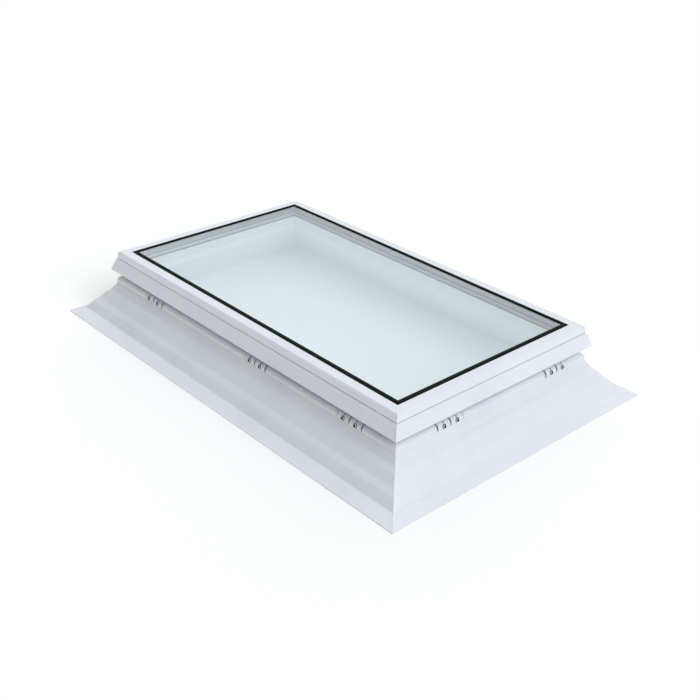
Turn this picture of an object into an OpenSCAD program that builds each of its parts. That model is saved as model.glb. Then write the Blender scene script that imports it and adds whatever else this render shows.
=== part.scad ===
// Fixed flat-glass roof skylight on a splayed upstand, in millimetres.
// z = 0 is the roof surface under the flange and the z axis is the middle of the opening.
// Each side is drawn as a section in r and z: r is the distance outwards from the edge of
// the glazed opening (negative is towards the middle), and z is the height.

/* [Opening] */
// Length of the glazed opening, inside the cap frame
opening_l = 1100; // [700:10:1800]
// Width of the glazed opening, inside the cap frame
opening_w = 600; // [450:10:1200]

/* [Upstand] */
// Height of the upstand
upstand_h = 163.5; // [135:0.5:240]
// Distance from the opening edge to the outer edge of the roof flange
flange_reach = 145; // [135:1:180]
// Distance from the opening edge to the crease where the flange starts
heel_reach = 108.3; // [98:0.1:120]
// Height of that crease
heel_h = 15.4; // [13:0.1:22]
// Distance from the opening edge to the outer face of the upright neck
neck_r = 15.6; // [13:0.1:17.5]
// Height of the upright neck that the sash stands on
neck_h = 41.7; // [38:0.1:50]
// Level thickness of the hollow wall
wall_w = 23.6; // [20:0.1:28]
// Thickness of the outer skins of the hollow wall
skin = 2.6; // [2:0.1:3.5]
// Thickness of the webs between the chambers
web = 2; // [1.5:0.1:3]
// Thickness of the flange at its edge and of its skins
flange_t = 3; // [2.5:0.1:4]

/* [Sash] */
// Height of the squeezed seal between upstand and sash
seal_h = 4.5; // [3:0.1:6]
// Thickness of the ledge under the glass
ledge_t = 8; // [7:0.1:12]
// Distance from the opening edge to the outer face of the sash body
body_r = 27.3; // [26:0.1:28]
// Distance from the opening edge to the top outer edge of the skirt
skirt_top_r = 35; // [33:0.1:40]
// Distance from the opening edge to the bottom outer edge of the skirt
skirt_foot_r = 47.8; // [44:0.1:56]
// Height of the skirt
skirt_h = 35.5; // [32:0.1:40]
// Thickness of the sash walls
sash_skin = 2.5; // [2:0.1:3.2]

/* [Glass unit] */
// Thickness of each pane
pane_t = 4; // [3:0.5:6]
// Space between the panes
cavity = 12; // [10:0.5:16]
// Width of the spacer bar
spacer_w = 5.5; // [5:0.1:6]
// Thickness of the edge sealant outside the spacer bar
sealant_w = 3; // [2:0.1:3.4]
// Gap between the glass edge and the cap frame
glass_gap = 2; // [1.6:0.1:3]
// Thickness of the glazing tape under the glass
tape_t = 3; // [2:0.1:4]

/* [Cap frame] */
// Height of the cap frame below the glass face
cap_drop = 0.8; // [0:0.1:2]
// Width of the flat top of the cap frame
cap_flat = 26.3; // [25:0.1:27]
// Width of the shadow groove between cap and skirt
groove = 1.6; // [1.2:0.1:4]
// Width of the black gasket on the glass
gasket_w = 10.5; // [8:0.1:14]
// Height of the black gasket above the glass
gasket_h = 2.5; // [1.5:0.1:4]

/* [Fixing clips] */
// Distance from the near end of a long side to its first clip
long_clip_near = 118; // [70:1:200]
// Distance from the far end of a long side to its last clip
long_clip_far = 157; // [70:1:200]
// Distance of the middle clip from the middle of a long side
long_clip_mid = 74; // [0:1:90]
// Distance from the near end of a short side to its first clip
short_clip_near = 138; // [70:1:150]
// Distance from the far end of a short side to its last clip
short_clip_far = 77; // [60:1:100]
// Width of one lobe of a clip
lobe_w = 38; // [34:1:42]
// Gap between the two lobes of a clip
lobe_gap = 5; // [3:1:8]
// Height of a lobe above the upstand face
lobe_rise = 11; // [9.5:0.1:12]
// Height of the round ridge that runs along the upstand between the clips
ridge_rise = 8.5; // [6:0.1:9]
// Diameter of the clip screws
screw_d = 4.2; // [3.5:0.1:5]
// Diameter of the clip screw heads
head_d = 9.4; // [8:0.1:10.5]
// Diameter of the sealing washers under the screw heads
washer_d = 12.4; // [11.5:0.1:14]
// Thickness of the sealing washers
washer_t = 1.2; // [0.8:0.1:2]

/* [Hidden] */
$fn = 48;

// Colours
upvc = "#eceff1";
glass = "#bcd3d8";
rubber = "#202326";
steel = "#c9cbcd";

// Half sizes of the opening
half_l = opening_l / 2;
half_w = opening_w / 2;
mitre_reach = 200;      // a mitre wedge reaches further out than any section
mitre_depth = 60;       // and further in

// Upstand levels
neck_z = upstand_h - neck_h;
inner_r = neck_r - wall_w;
heel = [heel_reach, heel_h];
neck_foot = [neck_r, neck_z];
face_run = heel - neck_foot;
face_len = norm(face_run);
face_out = [-face_run[1], face_run[0]] / face_len;

// Creases of the outer face: share of the way down it, and how far each stands out
creases = [[0.203, 2.1], [0.382, -1.5], [0.501, 1], [0.676, -0.5], [0.804, 2.3]];
face = concat([neck_foot],
    [for (c = creases) neck_foot + c[0] * face_run + c[1] * face_out],
    [heel]);
skin_level = skin * face_len / abs(face_run[1]);    // a skin measured level

// Sash levels
sash_z = upstand_h + seal_h;
ledge_z = sash_z + ledge_t;
unit_z = ledge_z + tape_t;
unit_t = 2 * pane_t + cavity;
glass_z = unit_z + unit_t;
cap_z = glass_z - cap_drop;
skirt_z = ledge_z + 0.5;
skirt_foot_z = skirt_z - skirt_h;
skirt_lean = (skirt_foot_r - skirt_top_r) / skirt_h;
skirt_t = sash_skin * 1.25;             // skirt wall measured level
pocket_r = 3;                           // inner face of the sash beside the glass
body_z = cap_z - 8.2;                   // top of the sash body
cap_foot_z = skirt_z + groove;
leg_gap = 6.4;                          // room between neck and sash leg for the clip tongue
leg_r = neck_r + leg_gap;
leg_z = sash_z - 18;                    // lower end of the sash leg
nib = 2.7;                              // catch on the sash leg
nib_h = 2.5;
lip = 1.3;                              // catch that holds the cap
edge_round = 1.2;
shoulder_round = 2.6;                   // top outer edge of the skirt

// Glass unit
unit_edge = -glass_gap;
sealant_in = unit_edge - sealant_w;
spacer_in = sealant_in - spacer_w;
spacer_wall = 0.8;

// Clips
clip_t = 2.8;                           // thickness of the tongue and foot plate
clip_play = 0.3;                        // play between the clip hook and the sash catch
clip_pitch = lobe_w + lobe_gap;
clip_w = clip_pitch + lobe_w;
lobe_a = neck_foot + (face[1] - neck_foot) * 0.09;
lobe_b = face[1];
lobe_half = norm(lobe_b - lobe_a) / 2;
lobe_r = (lobe_half * lobe_half + lobe_rise * lobe_rise) / (2 * lobe_rise);
lobe_dir = (lobe_b - lobe_a) / (2 * lobe_half);
lobe_out = [-lobe_dir[1], lobe_dir[0]];
lobe_c = (lobe_a + lobe_b) / 2 - lobe_out * (lobe_r - lobe_rise);
ridge_r = (lobe_half * lobe_half + ridge_rise * ridge_rise) / (2 * ridge_rise);
ridge_c = (lobe_a + lobe_b) / 2 - lobe_out * (ridge_r - ridge_rise);
ridge_wall = 2;
ridge_gap = 3.5;                        // between the cut ridge and a clip
screw_tilt = 10;                        // rise of the screw axis above level
seat_at = lobe_r - 1.9;                 // flat seat of the washer, from the lobe centre
head_at = seat_at + washer_t;
screw_in = 8;                           // how far the screw runs past the lobe centre
head_h = 3.1;
hole_play = 0.2;
seat_play = 0.6;                        // between a washer and the rim of its seat
peg_hole_d = 6.5;                       // blind hole near the top of each lobe
peg_hole_tilt = 60;
peg_hole_depth = 5;
lobe_wall = 1.8;                        // shell of a lobe round the hollow in its end
lobe_hollow = 6.5;                      // depth of that hollow

long_clips = [half_l - long_clip_near, long_clip_mid, long_clip_far - half_l];
short_clips = [short_clip_near - half_w, half_w - short_clip_far];

// Points along an arc, both ends included
function arc(c, r, a0, a1, n = 5) =
    [for (i = [0:n]) let (a = a0 + (a1 - a0) * i / n) c + r * [cos(a), sin(a)]];

function angle_of(v) = atan2(v[1], v[0]);

// r of the upstand faces at height z: i counts the outer facets from the top
function outer_at(z, i) = face[i][0]
    + (z - face[i][1]) * (face[i + 1][0] - face[i][0]) / (face[i + 1][1] - face[i][1]);
function inner_at(z) = inner_r + (neck_z - z) * face_run[0] / -face_run[1];
// r of the outer face of the skirt at height z
function skirt_at(z) = skirt_top_r + (skirt_z - z) * skirt_lean;

// ---- placing -------------------------------------------------------------

// Turns a section into a bar along one side. The bar runs along y at x = r + off.
module bar(off, len, at = 0)
    translate([off, at + len / 2, 0])
        rotate([90, 0, 0])
            linear_extrude(len) children();

// A bar cut to the two mitre planes of its side
module mitred(off, half)
    intersection() {
        bar(off, 2 * (half + mitre_reach)) children();
        translate([0, 0, -1])
            linear_extrude(glass_z + 50)
                polygon([
                    [off - mitre_depth, mitre_depth - half],
                    [off + mitre_reach, -half - mitre_reach],
                    [off + mitre_reach, half + mitre_reach],
                    [off - mitre_depth, half - mitre_depth]]);
    }

module right_side() mitred(half_l, half_w) children();
module left_side() rotate([0, 0, 180]) mitred(half_l, half_w) children();
module front_side() rotate([0, 0, -90]) mitred(half_w, half_l) children();
module back_side() rotate([0, 0, 90]) mitred(half_w, half_l) children();

// A closed ring of one section
module ring() {
    right_side() children();
    left_side() children();
    front_side() children();
    back_side() children();
}

// A plain ring between two insets and two heights
module box_ring(r_in, r_out, z0, z1)
    translate([0, 0, z0])
        linear_extrude(z1 - z0)
            difference() {
                square([opening_l + 2 * r_out, opening_w + 2 * r_out], center = true);
                square([opening_l + 2 * r_in, opening_w + 2 * r_in], center = true);
            }

// ---- upstand -------------------------------------------------------------

// One chamber of the splayed wall, behind facet i
module wall_chamber(i) {
    top = face[i][1] - web / 2;
    bottom = face[i + 1][1] + web / 2;
    polygon([
        [inner_at(bottom) + skin_level, bottom],
        [outer_at(bottom, i) - skin_level, bottom],
        [outer_at(top, i) - skin_level, top],
        [inner_at(top) + skin_level, top]]);
}

// Hollow of a round lobe or ridge: what a circle leaves outside the wall, from a level above it
module round_hollow(c, r, level)
    intersection() {
        translate(c) circle(r);
        polygon([neck_foot + lobe_out * level, face[1] + lobe_out * level,
            face[1] + lobe_out * 40, neck_foot + lobe_out * 40]);
    }

module upstand_section() {
    flange_fall = (heel_h - flange_t) / (flange_reach - heel_reach);
    drop = flange_t * sqrt(1 + flange_fall * flange_fall);
    difference() {
        polygon(concat(
            [[inner_r, upstand_h], [inner_r, neck_z], [inner_at(0), 0], [flange_reach, 0]],
            arc([flange_reach - 1, flange_t - 1], 1, 0, 70, 3),
            [for (i = [len(face) - 1:-1:2]) face[i]],
            arc(ridge_c, ridge_r, angle_of(lobe_b - ridge_c), angle_of(lobe_a - ridge_c), 14),
            [neck_foot, [neck_r, upstand_h]]));
        round_hollow(ridge_c, ridge_r - ridge_wall, 0);
        // neck chambers, one above the other
        for (z = [neck_z + web / 2, upstand_h - skin - (neck_h - skin - web * 1.5) / 2])
            translate([inner_r + skin, z])
                square([wall_w - 2 * skin, (neck_h - skin - web * 1.5) / 2]);
        for (i = [0:len(face) - 2])
            wall_chamber(i);
        // flange chamber
        polygon([
            [inner_at(flange_t) + skin_level, flange_t],
            [flange_reach - drop / flange_fall, flange_t],
            [heel_reach, heel_h - drop],
            [inner_at(heel_h - drop) + skin_level, heel_h - drop]]);
    }
}

// Pilot holes for the screws of every clip on one side, in the bar's own place
module pilot_holes(off, places)
    for (p = places, s = [-1, 1])
        on_screw_axis(off, p + s * clip_pitch / 2)
            translate([0, 0, -screw_in])
                cylinder(d = screw_d + hole_play, h = screw_in + lobe_r);

// Where the ridge is cut away down to the wall for the clips of one side
module clip_pockets(off, places)
    for (p = places)
        bar(off, clip_w + 2 * ridge_gap, p)
            polygon([neck_foot + [0, 20], neck_foot, face[1], face[1] + [20, 0], face[1] + [20, 40]]);

module upstand_long() color(upvc)
    difference() {
        mitred(half_w, half_l) upstand_section();
        clip_pockets(half_w, long_clips);
        pilot_holes(half_w, long_clips);
    }

module upstand_short() color(upvc)
    difference() {
        mitred(half_l, half_w) upstand_section();
        clip_pockets(half_l, short_clips);
        pilot_holes(half_l, short_clips);
    }

module upstand_front() rotate([0, 0, -90]) upstand_long();
module upstand_back() rotate([0, 0, 90]) upstand_long();
module upstand_right() upstand_short();
module upstand_left() rotate([0, 0, 180]) upstand_short();

// ---- sash with its skirt ---------------------------------------------------

module sash_section() {
    floor_z = sash_z - 10;              // floor of the skirt chamber
    mid_z = ledge_z + 3;                // web inside the sash body
    difference() {
        polygon(concat(
            [[inner_r, sash_z], [leg_r, sash_z],
                [leg_r, leg_z + nib_h], [leg_r - nib, leg_z + nib_h],
                [leg_r - nib, leg_z], [leg_r + sash_skin, leg_z],
                [leg_r + sash_skin, floor_z], [skirt_at(floor_z) - skirt_t, floor_z],
                [skirt_at(skirt_foot_z + 2) - skirt_t, skirt_foot_z + 2],
                [skirt_foot_r - skirt_t - 0.6, skirt_foot_z]],
            arc([skirt_foot_r - edge_round - 0.1, skirt_foot_z + edge_round],
                edge_round, -90, 12, 4),
            arc([skirt_top_r - shoulder_round, skirt_z - shoulder_round],
                shoulder_round, 18, 90, 5),
            [[body_r, skirt_z],
                [body_r, cap_foot_z + 3], [body_r + lip, cap_foot_z + 3.8],
                [body_r + lip, cap_foot_z + 4.6], [body_r, cap_foot_z + 5.4],
                [body_r, body_z], [pocket_r, body_z], [pocket_r, ledge_z],
                [inner_r, ledge_z]]));
        // skirt chamber
        polygon([
            [leg_r + sash_skin, floor_z + sash_skin],
            [skirt_at(floor_z + sash_skin) - skirt_t, floor_z + sash_skin],
            [skirt_at(skirt_z - sash_skin) - skirt_t, skirt_z - sash_skin],
            [body_r, skirt_z - sash_skin],
            [body_r, sash_z], [leg_r + sash_skin, sash_z]]);
        // body chambers and the small chamber of the ledge
        translate([pocket_r + sash_skin, sash_z + sash_skin])
            square([body_r - pocket_r - 2 * sash_skin, mid_z - web - sash_z - sash_skin]);
        translate([pocket_r + sash_skin, mid_z])
            square([body_r - pocket_r - 2 * sash_skin, body_z - sash_skin - mid_z]);
        translate([inner_r + sash_skin, sash_z + sash_skin])
            square([pocket_r - inner_r - sash_skin, ledge_t - 2 * sash_skin]);
    }
}

module sash_front() color(upvc) front_side() sash_section();
module sash_right() color(upvc) right_side() sash_section();
module sash_back() color(upvc) back_side() sash_section();
module sash_left() color(upvc) left_side() sash_section();

// ---- cap frame -------------------------------------------------------------

module cap_section() {
    t = 2.5;
    side_r = cap_flat + 4.1;            // top of the leaning outer face
    side_z = cap_z - 4.8;
    foot_r = side_r + 2;
    leg_foot = cap_z - 12;              // inner leg, beside the glass
    rest_r = 13;                        // short leg that stands on the sash
    polygon(concat(
        [[0, leg_foot], [t, leg_foot], [t, cap_z - t],
            [rest_r, cap_z - t], [rest_r, body_z], [rest_r + t, body_z],
            [rest_r + t, cap_z - t], [cap_flat - 1, cap_z - t],
            [side_r - t, side_z - 0.8], [foot_r - t, cap_foot_z + 2],
            [body_r + 0.4, cap_foot_z + 1.8], [body_r + 0.4, cap_foot_z],
            [foot_r - 0.4, cap_foot_z], [foot_r, cap_foot_z + 0.5]],
        arc([side_r - 2, side_z - 1], 2, 8, 40, 3),
        arc([cap_flat - 1, cap_z - 2.5], 2.5, 50, 90, 3),
        arc([0.6, cap_z - 0.6], 0.6, 90, 180, 2)));
}

module cap_front() color(upvc) front_side() cap_section();
module cap_right() color(upvc) right_side() cap_section();
module cap_back() color(upvc) back_side() cap_section();
module cap_left() color(upvc) left_side() cap_section();

// ---- glass unit ------------------------------------------------------------

module pane(z) color(glass)
    translate([-half_l - unit_edge, -half_w - unit_edge, z])
        cube([opening_l + 2 * unit_edge, opening_w + 2 * unit_edge, pane_t]);

module outer_pane() pane(glass_z - pane_t);
module inner_pane() pane(unit_z);

module spacer_bar() color(steel)
    difference() {
        box_ring(spacer_in, sealant_in, unit_z + pane_t, glass_z - pane_t);
        box_ring(spacer_in + spacer_wall, sealant_in - spacer_wall,
            unit_z + pane_t + spacer_wall, glass_z - pane_t - spacer_wall);
    }

module edge_sealant() color(rubber)
    box_ring(sealant_in, unit_edge, unit_z + pane_t, glass_z - pane_t);

// ---- seals and packers -----------------------------------------------------

module gasket_section() {
    top = glass_z + gasket_h;
    stem = glass_gap - 0.2;
    polygon(concat(
        [[-0.2, glass_z - 9], [-0.2, cap_z], [1.2, cap_z], [0.7, cap_z + 0.8],
            [-3.5, top - 0.3], [-5.5, top]],
        arc([1.2 - gasket_w, top - 1.2], 1.2, 90, 180, 3),
        [[-gasket_w, glass_z], [-stem, glass_z], [-stem, glass_z - 9]]));
}

module glass_gasket() color(rubber) ring() gasket_section();

module glazing_tape() color("#8d9193")
    box_ring(inner_r + 1, unit_edge - 1, ledge_z, unit_z);

// Packers that centre the glass in the sash, two to a side
module setting_blocks() color("#3a3f44") {
    block = [pocket_r - unit_edge, 80, 8];
    for (side = [-1, 1], s = [-1, 1]) {
        translate([side > 0 ? half_l + unit_edge : -half_l - pocket_r,
            s * (half_w - 110) - block[1] / 2, ledge_z])
            cube(block);
        translate([s * (half_l - 150) - block[1] / 2,
            side > 0 ? half_w + unit_edge : -half_w - pocket_r, ledge_z])
            cube([block[1], block[0], block[2]]);
    }
}

// Two bulbs on one base, squeezed flat against the sash
module seal_section() {
    base_t = 1.4;
    bulb_w = 6;
    seal_in = inner_r + 1;
    seal_out = seal_in + 16;
    polygon([[seal_in, upstand_h], [seal_out, upstand_h],
        [seal_out, sash_z], [seal_out - bulb_w, sash_z],
        [seal_out - bulb_w, upstand_h + base_t], [seal_in + bulb_w, upstand_h + base_t],
        [seal_in + bulb_w, sash_z], [seal_in, sash_z]]);
}

module sash_seal() color(rubber) ring() seal_section();

// ---- fixing clips ----------------------------------------------------------

// Moves to the screw axis of a lobe at place y on a side: z points out along the screw
module on_screw_axis(off, y, tilt = screw_tilt)
    translate([off + lobe_c[0], y, lobe_c[1]])
        rotate([0, 90 - tilt, 0]) children();

// The plate on the upstand, its tongue up behind the skirt and the hook at its top
module plate_section() {
    hook_z = leg_z + nib_h + clip_play;
    tongue = neck_r + clip_t;
    foot_dir = (face[1] - neck_foot) / norm(face[1] - neck_foot);
    foot_out = [-foot_dir[1], foot_dir[0]];
    polygon([
        neck_foot, face[1], face[1] + foot_out * 0.8 - foot_dir,
        face[1] + foot_out * clip_t - foot_dir * 4,
        [tongue, neck_z + 1.3], [tongue, hook_z],
        [leg_r - 0.5, hook_z], [leg_r - 0.5, hook_z + 1.5], [tongue, hook_z + 3.5],
        [neck_r, hook_z + 3.5]]);
}

// Round lobe: the part of a cylinder that stands outside the upstand face
module lobe_section() {
    intersection() {
        translate(lobe_c) circle(lobe_r);
        polygon([neck_foot, face[1], face[1] + lobe_out * 40, neck_foot + lobe_out * 40]);
    }
}

// One clip at place y on a side
module clip_at(off, y) color(upvc)
    difference() {
        union() {
            bar(off, clip_w, y) plate_section();
            for (s = [-1, 1])
                bar(off, lobe_w, y + s * clip_pitch / 2) lobe_section();
        }
        for (s = [-1, 1], end = [-1, 1])
            bar(off, lobe_hollow + 1,
                y + s * clip_pitch / 2 + end * (lobe_w / 2 + 0.5 - lobe_hollow / 2))
                round_hollow(lobe_c, lobe_r - lobe_wall, clip_t);
        for (s = [-1, 1]) {
            on_screw_axis(off, y + s * clip_pitch / 2) {
                cylinder(d = screw_d + hole_play, h = lobe_r + 5);
                translate([0, 0, seat_at]) cylinder(d = washer_d + seat_play, h = 10);
            }
            on_screw_axis(off, y + s * clip_pitch / 2, peg_hole_tilt)
                translate([0, 0, lobe_r - peg_hole_depth]) cylinder(d = peg_hole_d, h = 10);
        }
    }

// Pan-head screw standing on its washer: the head is a slice of a ball
module clip_screw() {
    ball_r = (head_d * head_d / 4 + head_h * head_h) / (2 * head_h);
    translate([0, 0, -screw_in]) {
        translate([0, 0, 3]) cylinder(d = screw_d, h = screw_in + head_at - 3);
        cylinder(d1 = 0.8, d2 = screw_d, h = 3);
    }
    intersection() {
        translate([0, 0, head_at + head_h - ball_r]) sphere(ball_r);
        translate([0, 0, head_at]) cylinder(d = head_d, h = head_h);
    }
}

module sealing_washer()
    translate([0, 0, seat_at])
        difference() {
            cylinder(d = washer_d, h = washer_t);
            translate([0, 0, -1]) cylinder(d = screw_d + hole_play, h = washer_t + 2);
        }

// Puts one thing on every screw axis of a side
module on_side(off, places)
    for (p = places, s = [-1, 1])
        on_screw_axis(off, p + s * clip_pitch / 2) children();

// Puts one thing on every screw axis of the skylight
module on_every_screw() {
    for (turn = [-90, 90])
        rotate([0, 0, turn]) on_side(half_w, long_clips) children();
    for (turn = [0, 180])
        rotate([0, 0, turn]) on_side(half_l, short_clips) children();
}

module clip_screws() color(steel) on_every_screw() clip_screw();
module sealing_washers() color(rubber) on_every_screw() sealing_washer();

module clip_front(i) rotate([0, 0, -90]) clip_at(half_w, long_clips[i]);
module clip_back(i) rotate([0, 0, 90]) clip_at(half_w, long_clips[i]);
module clip_right(i) clip_at(half_l, short_clips[i]);
module clip_left(i) rotate([0, 0, 180]) clip_at(half_l, short_clips[i]);

upstand_front();
upstand_right();
upstand_back();
upstand_left();
sash_front();
sash_right();
sash_back();
sash_left();
cap_front();
cap_right();
cap_back();
cap_left();
outer_pane();
inner_pane();
spacer_bar();
edge_sealant();
glass_gasket();
glazing_tape();
setting_blocks();
sash_seal();
clip_front(0);  // clip_front_a
clip_front(1);  // clip_front_b
clip_front(2);  // clip_front_c
clip_right(0);  // clip_right_a
clip_right(1);  // clip_right_b
clip_back(0);  // clip_back_a
clip_back(1);  // clip_back_b
clip_back(2);  // clip_back_c
clip_left(0);  // clip_left_a
clip_left(1);  // clip_left_b
clip_screws();
sealing_washers();
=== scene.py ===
import math

import bmesh
import bpy
from mathutils import Matrix, Vector


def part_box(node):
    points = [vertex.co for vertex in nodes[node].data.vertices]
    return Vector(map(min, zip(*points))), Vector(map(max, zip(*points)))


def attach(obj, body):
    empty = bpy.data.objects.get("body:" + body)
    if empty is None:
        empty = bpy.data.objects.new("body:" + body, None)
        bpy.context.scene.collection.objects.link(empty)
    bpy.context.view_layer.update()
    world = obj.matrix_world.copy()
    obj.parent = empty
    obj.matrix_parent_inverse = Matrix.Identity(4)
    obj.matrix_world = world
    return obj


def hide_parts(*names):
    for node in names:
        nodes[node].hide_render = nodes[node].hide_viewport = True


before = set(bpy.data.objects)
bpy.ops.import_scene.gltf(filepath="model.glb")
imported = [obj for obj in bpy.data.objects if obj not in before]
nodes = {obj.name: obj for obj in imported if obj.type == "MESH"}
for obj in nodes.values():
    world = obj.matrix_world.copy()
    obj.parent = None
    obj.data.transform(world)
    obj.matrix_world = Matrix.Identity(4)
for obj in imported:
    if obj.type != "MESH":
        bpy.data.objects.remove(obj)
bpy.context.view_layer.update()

MM = 0.001
SIDES = ("front", "right", "back", "left")

scene = bpy.context.scene


# ---- small helpers ---------------------------------------------------------

def linear(hex_colour):
    """An sRGB hex colour as linear red, green, blue and alpha."""
    parts = [int(hex_colour[i:i + 2], 16) / 255 for i in (1, 3, 5)]
    return [p / 12.92 if p <= 0.04045 else ((p + 0.055) / 1.055) ** 2.4 for p in parts] + [1]


def add_node(tree, kind, settings=None, inputs=None, links=None):
    """Adds a shader node, sets its properties and inputs, and links its inputs to other nodes' outputs."""
    node = tree.nodes.new(kind)
    for name, value in (settings or {}).items():
        setattr(node, name, value)
    for name, value in (inputs or {}).items():
        node.inputs[name].default_value = value
    for name, output in (links or {}).items():
        tree.links.new(output, node.inputs[name])
    return node


def new_material(name):
    """An empty node material with its output, as (material, tree, output)."""
    material = bpy.data.materials.new(name)
    material.use_nodes = True
    tree = material.node_tree
    tree.nodes.clear()
    return material, tree, tree.nodes.new("ShaderNodeOutputMaterial")


def ramp(tree, source, stops):
    """A colour ramp over a value, with stops as (position, hex colour)."""
    node = add_node(tree, "ShaderNodeValToRGB", links={"Fac": source})
    for element, (place, colour) in zip(node.color_ramp.elements, (stops[0], stops[-1])):
        element.position = place
        element.color = linear(colour)
    for place, colour in stops[1:-1]:
        node.color_ramp.elements.new(place).color = linear(colour)
    return node


def paint(object_, material):
    """Gives a CAD node or a new piece one material."""
    slots = object_.data.materials
    if len(slots) == 0:
        slots.append(material)
    for i in range(len(slots)):
        slots[i] = material


def new_piece(name, mesh_maker, material, replaced=()):
    """Makes a piece from a bmesh that mesh_maker fills, and joins it to the frame."""
    bm = bmesh.new()
    mesh_maker(bm)
    mesh = bpy.data.meshes.new(name)
    bm.to_mesh(mesh)
    bm.free()
    piece = bpy.data.objects.new(name, mesh)
    scene.collection.objects.link(piece)
    paint(piece, material)
    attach(piece, "root")
    if replaced:
        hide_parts(*replaced)
    return piece


# ---- camera ----------------------------------------------------------------

glass_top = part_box("outer_pane")[1].z
CAMERA_AZIMUTH = math.radians(47.85)
CAMERA_HEIGHT_ANGLE = math.radians(28.58)
CAMERA_ROLL = math.radians(1.02)
CAMERA_DISTANCE = 2.894         # from the aimed point
AIM_RIGHT = 0.0361              # aimed point from the middle of the glass, along the picture
AIM_DOWN = 0.1737
SENSOR_WIDTH = 36.0
FOCAL_LENGTH = 54.94

back = Vector((math.sin(CAMERA_AZIMUTH) * math.cos(CAMERA_HEIGHT_ANGLE),
               -math.cos(CAMERA_AZIMUTH) * math.cos(CAMERA_HEIGHT_ANGLE),
               math.sin(CAMERA_HEIGHT_ANGLE)))
level = Vector((math.cos(CAMERA_AZIMUTH), math.sin(CAMERA_AZIMUTH), 0))
camera_turn = Matrix.Rotation(CAMERA_ROLL, 3, back) @ Matrix((level, back.cross(level), back)).transposed()
aim = Vector((0, 0, glass_top)) + camera_turn @ Vector((AIM_RIGHT, -AIM_DOWN, 0))
camera_data = bpy.data.cameras.new("camera")
camera_data.sensor_width = SENSOR_WIDTH
camera_data.lens = FOCAL_LENGTH
camera_data.clip_start = 0.05
camera_data.clip_end = 60
camera = bpy.data.objects.new("camera", camera_data)
camera.matrix_world = Matrix.Translation(aim + back * CAMERA_DISTANCE) @ camera_turn.to_4x4()
scene.collection.objects.link(camera)
scene.camera = camera


# ---- materials -------------------------------------------------------------

def extruded_upvc(name, along, colour, shade, roughness):
    """White PVC pushed through a die: satin, with fine lines along its length and a faint tone change."""
    LINE_PITCH = 2.6            # mm, drawn coarser than the real die lines so that they show
    material, tree, output = new_material(name)
    place = add_node(tree, "ShaderNodeTexCoord").outputs["Object"]
    # the pattern is stretched along the extrusion
    stretch = {"x": (0.004, 1, 1), "y": (1, 0.004, 1)}[along]
    drawn = add_node(tree, "ShaderNodeMapping", inputs={"Scale": stretch}, links={"Vector": place})
    lines = add_node(tree, "ShaderNodeTexNoise",
                     inputs={"Scale": 1 / (LINE_PITCH * MM), "Detail": 3, "Roughness": 0.6},
                     links={"Vector": drawn.outputs["Vector"]})
    cloud = add_node(tree, "ShaderNodeTexNoise", inputs={"Scale": 9, "Detail": 3, "Roughness": 0.5},
                     links={"Vector": place})
    both = add_node(tree, "ShaderNodeMath", {"operation": "ADD"},
                    links={0: cloud.outputs["Fac"], 1: lines.outputs["Fac"]})
    tone = ramp(tree, both.outputs["Value"], [(0.75, shade), (1.25, colour)])
    gloss = add_node(tree, "ShaderNodeMapRange",
                     inputs={"To Min": roughness - 0.05, "To Max": roughness + 0.07},
                     links={"Value": lines.outputs["Fac"]})
    flat = add_node(tree, "ShaderNodeNewGeometry").outputs["True Normal"]
    bump = add_node(tree, "ShaderNodeBump", inputs={"Strength": 0.2, "Distance": 0.2 * MM},
                    links={"Height": lines.outputs["Fac"], "Normal": flat})
    shader = add_node(tree, "ShaderNodeBsdfPrincipled",
                      inputs={"IOR": 1.53, "Specular IOR Level": 0.7},
                      links={"Base Color": tone.outputs["Color"], "Roughness": gloss.outputs["Result"],
                             "Normal": bump.outputs["Normal"]})
    tree.links.new(shader.outputs["BSDF"], output.inputs["Surface"])
    return material


def moulded_upvc(name, colour, shade):
    """White moulded plastic: a fine even grain and a slightly duller face than the extrusions."""
    GRAIN = 1.1                 # mm
    material, tree, output = new_material(name)
    place = add_node(tree, "ShaderNodeTexCoord").outputs["Object"]
    grain = add_node(tree, "ShaderNodeTexNoise", inputs={"Scale": 1 / (GRAIN * MM), "Detail": 2},
                     links={"Vector": place})
    cloud = add_node(tree, "ShaderNodeTexNoise", inputs={"Scale": 40, "Detail": 2}, links={"Vector": place})
    tone = ramp(tree, cloud.outputs["Fac"], [(0.3, shade), (0.7, colour)])
    bump = add_node(tree, "ShaderNodeBump", inputs={"Strength": 0.1, "Distance": 0.1 * MM},
                    links={"Height": grain.outputs["Fac"]})
    shader = add_node(tree, "ShaderNodeBsdfPrincipled", inputs={"IOR": 1.5, "Roughness": 0.42},
                      links={"Base Color": tone.outputs["Color"], "Normal": bump.outputs["Normal"]})
    tree.links.new(shader.outputs["BSDF"], output.inputs["Surface"])
    return material


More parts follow.
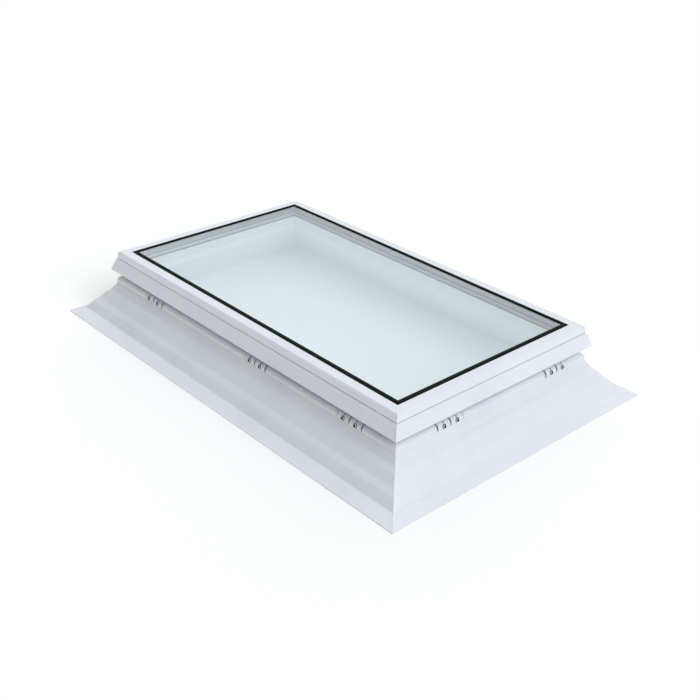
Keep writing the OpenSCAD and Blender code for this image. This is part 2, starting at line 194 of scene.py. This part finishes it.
def extruded_rubber(name, colour, shade, roughness):
    """Rubber or sealing tape: soft sheen, a faint dusty bloom and a fine grain."""
    GRAIN = 0.8                 # mm
    material, tree, output = new_material(name)
    place = add_node(tree, "ShaderNodeTexCoord").outputs["Object"]
    grain = add_node(tree, "ShaderNodeTexNoise", inputs={"Scale": 1 / (GRAIN * MM), "Detail": 3},
                     links={"Vector": place})
    bloom = add_node(tree, "ShaderNodeTexNoise", inputs={"Scale": 25, "Detail": 4, "Roughness": 0.6},
                     links={"Vector": place})
    tone = ramp(tree, bloom.outputs["Fac"], [(0.35, colour), (0.75, shade)])
    bump = add_node(tree, "ShaderNodeBump", inputs={"Strength": 0.15, "Distance": 0.1 * MM},
                    links={"Height": grain.outputs["Fac"]})
    shader = add_node(tree, "ShaderNodeBsdfPrincipled",
                      inputs={"IOR": 1.52, "Roughness": roughness, "Specular IOR Level": 0.12},
                      links={"Base Color": tone.outputs["Color"], "Normal": bump.outputs["Normal"]})
    tree.links.new(shader.outputs["BSDF"], output.inputs["Surface"])
    return material


def float_glass(name, tint, coating):
    """Clear float glass: straight-through light with a faint green-blue tint, and mirror faces. The coating
    is the share of the light left over by the bare glass that a thin metal coating mirrors."""
    material, tree, output = new_material(name)
    place = add_node(tree, "ShaderNodeTexCoord").outputs["Object"]
    roll_wave = add_node(tree, "ShaderNodeTexNoise", inputs={"Scale": 3.0, "Detail": 1},
                         links={"Vector": place})
    bump = add_node(tree, "ShaderNodeBump", inputs={"Strength": 0.02, "Distance": 1 * MM},
                    links={"Height": roll_wave.outputs["Fac"]})
    through = add_node(tree, "ShaderNodeBsdfTransparent", inputs={"Color": linear(tint)})
    mirror = add_node(tree, "ShaderNodeBsdfAnisotropic",
                      inputs={"Color": linear("#fafdfe"), "Roughness": 0.015},
                      links={"Normal": bump.outputs["Normal"]})
    edge = add_node(tree, "ShaderNodeFresnel", inputs={"IOR": 1.52}, links={"Normal": bump.outputs["Normal"]})
    # the face that light enters mirrors for both faces of the pane: 2F / (1 + F). Light doesn't bend
    # here, so the face that it leaves by would mirror all of it.
    twice = add_node(tree, "ShaderNodeMath", {"operation": "MULTIPLY"}, {1: 2.0}, {0: edge.outputs["Fac"]})
    whole = add_node(tree, "ShaderNodeMath", {"operation": "ADD"}, {1: 1.0}, {0: edge.outputs["Fac"]})
    pane = add_node(tree, "ShaderNodeMath", {"operation": "DIVIDE"},
                    links={0: twice.outputs["Value"], 1: whole.outputs["Value"]})
    coated = add_node(tree, "ShaderNodeMapRange", inputs={"To Min": coating, "To Max": 1.0},
                      links={"Value": pane.outputs["Value"]})
    inside = add_node(tree, "ShaderNodeNewGeometry").outputs["Backfacing"]
    outside = add_node(tree, "ShaderNodeMath", {"operation": "SUBTRACT"}, {0: 1.0}, {1: inside})
    fac = add_node(tree, "ShaderNodeMath", {"operation": "MULTIPLY"},
                   links={0: coated.outputs["Result"], 1: outside.outputs["Value"]})
    mix = add_node(tree, "ShaderNodeMixShader", links={"Fac": fac.outputs["Value"]})
    tree.links.new(through.outputs["BSDF"], mix.inputs[1])
    tree.links.new(mirror.outputs["BSDF"], mix.inputs[2])
    tree.links.new(mix.outputs["Shader"], output.inputs["Surface"])
    return material


def rolled_aluminium(name):
    """Roll-formed aluminium spacer bar: satin, brushed along its length, with rows of dark dots at the tiny
    breather perforations, painted shade in place of real openings.
    """
    HOLE_PITCH = 6              # mm, drawn coarser than the real ones so that they show
    material, tree, output = new_material(name)
    place = add_node(tree, "ShaderNodeTexCoord").outputs["Object"]
    brushed = add_node(tree, "ShaderNodeMapping", inputs={"Scale": (1, 1, 60)}, links={"Vector": place})
    lines = add_node(tree, "ShaderNodeTexNoise", inputs={"Scale": 60, "Detail": 4},
                     links={"Vector": brushed.outputs["Vector"]})
    # dark dots at the breather perforations: painted shade, no perforations are cut
    hole_shade_dots = add_node(tree, "ShaderNodeTexVoronoi", {"voronoi_dimensions": "3D"},
                     {"Scale": 1 / (HOLE_PITCH * MM), "Randomness": 0.0}, {"Vector": place})
    tone = ramp(tree, hole_shade_dots.outputs["Distance"], [(0.1, "#5c6266"), (0.2, "#b4babd")])
    gloss = add_node(tree, "ShaderNodeMapRange", inputs={"To Min": 0.3, "To Max": 0.5},
                     links={"Value": lines.outputs["Fac"]})
    shader = add_node(tree, "ShaderNodeBsdfPrincipled", inputs={"Metallic": 1.0},
                      links={"Base Color": tone.outputs["Color"], "Roughness": gloss.outputs["Result"]})
    tree.links.new(shader.outputs["BSDF"], output.inputs["Surface"])
    return material


def socket_painted_shade(name):
    """The floor and walls of a punched screw socket: painted near black as painted shade deep in the socket,
    and dull.
    """
    material, tree, output = new_material(name)
    place = add_node(tree, "ShaderNodeTexCoord").outputs["Object"]
    cloud = add_node(tree, "ShaderNodeTexNoise", inputs={"Scale": 900, "Detail": 2}, links={"Vector": place})
    # near-black tones: painted shade in the screw socket
    tone = ramp(tree, cloud.outputs["Fac"], [(0.3, "#0d0e0f"), (0.7, "#17191a")])
    shader = add_node(tree, "ShaderNodeBsdfPrincipled", inputs={"Roughness": 0.6, "Specular IOR Level": 0.3},
                      links={"Base Color": tone.outputs["Color"]})
    tree.links.new(shader.outputs["BSDF"], output.inputs["Surface"])
    return material


def zinc_plated_steel(name):
    """Bright zinc plate over a cold-headed screw: a clear shine with slight clouding."""
    material, tree, output = new_material(name)
    place = add_node(tree, "ShaderNodeTexCoord").outputs["Object"]
    cloud = add_node(tree, "ShaderNodeTexNoise", inputs={"Scale": 600, "Detail": 3}, links={"Vector": place})
    tone = ramp(tree, cloud.outputs["Fac"], [(0.3, "#cfd2d4"), (0.7, "#eceeef")])
    gloss = add_node(tree, "ShaderNodeMapRange", inputs={"To Min": 0.2, "To Max": 0.34},
                     links={"Value": cloud.outputs["Fac"]})
    shader = add_node(tree, "ShaderNodeBsdfPrincipled", inputs={"Metallic": 1.0},
                      links={"Base Color": tone.outputs["Color"], "Roughness": gloss.outputs["Result"]})
    tree.links.new(shader.outputs["BSDF"], output.inputs["Surface"])
    return material


UPVC_LIGHT = "#e0e3e6"
UPVC_SHADE = "#dadde1"
upvc = {along: extruded_upvc("extruded_upvc_" + along, along, UPVC_LIGHT, UPVC_SHADE, 0.38) for along in "xy"}
clip_plastic = moulded_upvc("moulded_upvc", "#dfe3e6", "#d9dde0")
weld_upvc = moulded_upvc("melted_and_cleaned_upvc", "#eef1f3", "#e6eaec")
black_rubber = extruded_rubber("extruded_epdm_black", "#040505", "#0a0b0b", 0.6)
washer_rubber = extruded_rubber("moulded_epdm_grey", "#5c6164", "#6c7174", 0.6)
grey_seal = extruded_rubber("extruded_epdm_grey", "#9aa0a3", "#b0b5b8", 0.5)
grey_tape = extruded_rubber("butyl_tape_grey", "#7b8083", "#90959a", 0.7)
packer_plastic = moulded_upvc("moulded_packer_black", "#1c1f22", "#16181a")
outer_glass = float_glass("float_glass_solar_outer", "#fcfefe", 0.06)
inner_glass = float_glass("float_glass_low_e_inner", "#fcfefe", 0.24)
spacer_metal = rolled_aluminium("rolled_aluminium_spacer")
screw_metal = zinc_plated_steel("zinc_plated_steel")
socket_shade = socket_painted_shade("screw_socket_painted_shade")

for side in SIDES:
    along = "x" if side in ("front", "back") else "y"
    for part in ("upstand_", "sash_", "cap_"):
        paint(nodes[part + side], upvc[along])
for name, node in nodes.items():
    if name.startswith("clip_") and name != "clip_screws":
        paint(node, clip_plastic)
paint(nodes["outer_pane"], outer_glass)
paint(nodes["inner_pane"], inner_glass)
paint(nodes["spacer_bar"], spacer_metal)
for name in ("glass_gasket", "edge_sealant"):
    paint(nodes[name], black_rubber)
paint(nodes["sealing_washers"], washer_rubber)
paint(nodes["sash_seal"], grey_seal)
paint(nodes["glazing_tape"], grey_tape)
paint(nodes["setting_blocks"], packer_plastic)


# ---- clip screws -----------------------------------------------------------

HALF_LENGTH = 550               # mm, half sizes of the glazed opening
HALF_WIDTH = 300
LOBE_CENTRE = (25.13, 109.17)   # mm, outwards from the opening edge and up
HEAD_SEAT = 12.56               # mm along the screw from the lobe centre
SCREW_RISE = math.radians(10)
LOBE_STEP = 21.5                # mm from the middle of a clip to each of its screws
LONG_CLIPS = (432, 74, -393)    # mm along the side
SHORT_CLIPS = (-162, 223)
HEAD_RINGS = ((4.7, 0), (4.7, 0.7), (4.6, 1.5), (4.3, 2.2), (3.9, 2.7), (3.5, 2.9))    # radius, height in mm
SOCKET_RINGS = ((3.1, 2.8), (2.9, 2.5), (2.8, 0.6), (0.9, 0.4))
SHANK_RINGS = ((2.1, 0), (2.1, 4 - HEAD_SEAT), (2.1, -5 - HEAD_SEAT), (0.4, -8 - HEAD_SEAT))
LOBE_DEPTH = 0.13               # of the socket's radius


def screw_places():
    """The place and turn of every clip screw: z runs out along the screw from the lobe centre."""
    sides = ((-90, HALF_WIDTH, LONG_CLIPS), (90, HALF_WIDTH, LONG_CLIPS),
             (0, HALF_LENGTH, SHORT_CLIPS), (180, HALF_LENGTH, SHORT_CLIPS))
    places = []
    for turn, off, clips in sides:
        for clip in clips:
            for step in (-LOBE_STEP, LOBE_STEP):
                middle = Vector((off + LOBE_CENTRE[0], clip + step, LOBE_CENTRE[1])) * MM
                places.append(Matrix.Rotation(math.radians(turn), 4, "Z") @ Matrix.Translation(middle)
                              @ Matrix.Rotation(math.radians(90) - SCREW_RISE, 4, "Y"))
    return places


def extrude_rings(bm, ring, rings, lobed=False):
    """Carries a ring of edges through rings of (radius, height), with six shallow lobes if lobed."""
    for radius, height in rings:
        made = bmesh.ops.extrude_edge_only(bm, edges=ring)["geom"]
        ring = [e for e in made if isinstance(e, bmesh.types.BMEdge)]
        for vert in {v for e in ring for v in e.verts}:
            angle = math.atan2(vert.co.y, vert.co.x)
            reach = radius * (1 + LOBE_DEPTH * math.cos(6 * angle)) if lobed else radius
            vert.co = Vector((reach * math.cos(angle), reach * math.sin(angle), height)) * MM
    return ring


def clip_screw_heads(bm):
    """Pan-head screws with a six-lobe socket in the head and a plain pointed shank."""
    for place in screw_places():
        made = bmesh.ops.create_circle(bm, segments=36, radius=HEAD_RINGS[0][0] * MM)["verts"]
        start = list({e for v in made for e in v.link_edges})
        rim = extrude_rings(bm, start, HEAD_RINGS[1:])
        before = set(bm.faces)
        socket = extrude_rings(bm, rim, SOCKET_RINGS, lobed=True)
        inside = [f for f in bm.faces if f not in before]
        shank = extrude_rings(bm, start, SHANK_RINGS)
        bmesh.ops.contextual_create(bm, geom=shank)
        inside += bmesh.ops.contextual_create(bm, geom=socket)["faces"]
        # the socket faces take the second slot, painted near black as painted shade
        for face in inside:
            face.material_index = 1
        whole = set(made)
        reached = set(whole)
        while reached:
            reached = {e.other_vert(v) for v in reached for e in v.link_edges} - whole
            whole |= reached
        bmesh.ops.translate(bm, verts=list(whole), vec=Vector((0, 0, HEAD_SEAT * MM)))
        bmesh.ops.transform(bm, matrix=place, verts=list(whole))
    bmesh.ops.recalc_face_normals(bm, faces=bm.faces[:])
    for face in bm.faces:
        face.smooth = False


screws = new_piece("clip_screw_heads", clip_screw_heads, screw_metal, ("clip_screws",))
# second slot: the socket's painted shade
screws.data.materials.append(socket_shade)


# ---- weld seams at the mitred corners ----------------------------------------

# outer faces of the three frames at a mitre, as distance out from the opening edge and height, in mm
UPSTAND_FACE = ((144.6, 2.4), (108.3, 15.4), (91.9, 37.8), (77.9, 49.6), (62.8, 69.2), (49.9, 80.2),
                (36.0, 101.6), (36.9, 105.6), (36.6, 109.7), (35.2, 113.5), (32.7, 116.8), (29.4, 119.3),
                (25.5, 120.7), (21.4, 120.9), (17.4, 120.0), (15.6, 122), (15.6, 160))
SKIRT_FACE = ((45.6, 141.1), (47.6, 142.4), (47.2, 143.6), (35.6, 173.9), (34.4, 175.9), (32.8, 176.5))
CAP_FACE = ((32.4, 178.8), (30.5, 192.8), (29.6, 194.8), (27.2, 197.2), (25.3, 198.2), (1.0, 198.2))
CORNERS = ((-1, -1), (1, -1), (1, 1), (-1, 1))      # signs of x and y at each corner


def weld_seams(name, faces, width, material):
    """The thin cleaned weld bead down each mitre of a frame."""
    curve = bpy.data.curves.new(name, "CURVE")
    curve.dimensions = "3D"
    curve.bevel_depth = width / 2 * MM
    curve.bevel_resolution = 2
    curve.use_fill_caps = True
    for sx, sy in CORNERS:
        spline = curve.splines.new("POLY")
        spline.points.add(len(faces) - 1)
        for point, (out, height) in zip(spline.points, faces):
            point.co = (sx * (HALF_LENGTH + out) * MM, sy * (HALF_WIDTH + out) * MM, height * MM, 1)
    seam = bpy.data.objects.new(name, curve)
    scene.collection.objects.link(seam)
    curve.materials.append(material)
    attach(seam, "root")


weld_seams("upstand_welds", UPSTAND_FACE, 1.5, weld_upvc)
weld_seams("skirt_welds", SKIRT_FACE, 1.1, weld_upvc)
weld_seams("cap_welds", CAP_FACE, 0.9, weld_upvc)


# ---- floor and light --------------------------------------------------------

FLOOR_HALF_SIZE = 14            # m
HORIZON = 0.16                  # strength of the sky
ZENITH = 0.70
# direction, cosine of the angle at which it fades out, and strength added
SOFTBOXES = (((-0.66, 0.60, 0.58), 0.35, 0.76), ((0.70, -0.52, 0.28), 0.76, 0.34))
KEY_TOWARDS = (0.80, 0.06, 0.59)
KEY_STRENGTH = 1.48
KEY_SPREAD = 35                 # degrees


def studio_floor():
    """A wide pale floor sheet, slightly rough, as the plain ground of a product picture."""
    bm = bmesh.new()
    bmesh.ops.create_grid(bm, x_segments=1, y_segments=1, size=FLOOR_HALF_SIZE)
    mesh = bpy.data.meshes.new("floor")
    bm.to_mesh(mesh)
    bm.free()
    floor = bpy.data.objects.new("floor", mesh)
    scene.collection.objects.link(floor)
    material, tree, output = new_material("pale_studio_floor")
    shader = add_node(tree, "ShaderNodeBsdfPrincipled",
                      inputs={"Base Color": linear("#fffdfb"), "Roughness": 0.9})
    tree.links.new(shader.outputs["BSDF"], output.inputs["Surface"])
    paint(floor, material)


def wide_light(name, towards, strength, colour, spread):
    """A very wide soft light from the direction of towards, with the same strength all over the floor."""
    data = bpy.data.lights.new(name, "SUN")
    data.energy = strength
    data.color = linear(colour)[:3]
    data.angle = math.radians(spread)
    lamp = bpy.data.objects.new(name, data)
    lamp.matrix_world = (-Vector(towards)).to_track_quat("-Z", "Y").to_matrix().to_4x4()
    scene.collection.objects.link(lamp)


def soft_sky(tree, horizon, zenith, softboxes):
    """A sky that rises smoothly from horizon to zenith strength. Each softbox adds strength towards one
    direction, and fades out where the cosine of the angle to it falls to its edge."""
    background = tree.nodes["Background"]
    background.inputs["Color"].default_value = linear("#f6f9fb")
    direction = add_node(tree, "ShaderNodeTexCoord").outputs["Generated"]
    height = add_node(tree, "ShaderNodeSeparateXYZ", links={"Vector": direction})
    dome = add_node(tree, "ShaderNodeMapRange", {"interpolation_type": "SMOOTHSTEP"},
                    {"From Min": 0.0, "From Max": 0.95, "To Min": horizon, "To Max": zenith},
                    {"Value": height.outputs["Z"]})
    strength = dome.outputs["Result"]
    for towards, edge, extra in softboxes:
        nearness = add_node(tree, "ShaderNodeVectorMath", {"operation": "DOT_PRODUCT"},
                            {1: Vector(towards).normalized()}, {0: direction})
        box = add_node(tree, "ShaderNodeMapRange", {"interpolation_type": "SMOOTHSTEP"},
                       {"From Min": edge, "From Max": 1.0, "To Min": 0.0, "To Max": extra},
                       {"Value": nearness.outputs["Value"]})
        strength = add_node(tree, "ShaderNodeMath", {"operation": "ADD"},
                            links={0: strength, 1: box.outputs["Result"]}).outputs["Value"]
    tree.links.new(strength, background.inputs["Strength"])


studio_floor()
world = bpy.data.worlds.new("studio")
scene.world = world
world.use_nodes = True
soft_sky(world.node_tree, HORIZON, ZENITH, SOFTBOXES)
wide_light("key", KEY_TOWARDS, KEY_STRENGTH, "#f6faff", KEY_SPREAD)
scene.view_settings.view_transform = "Standard"
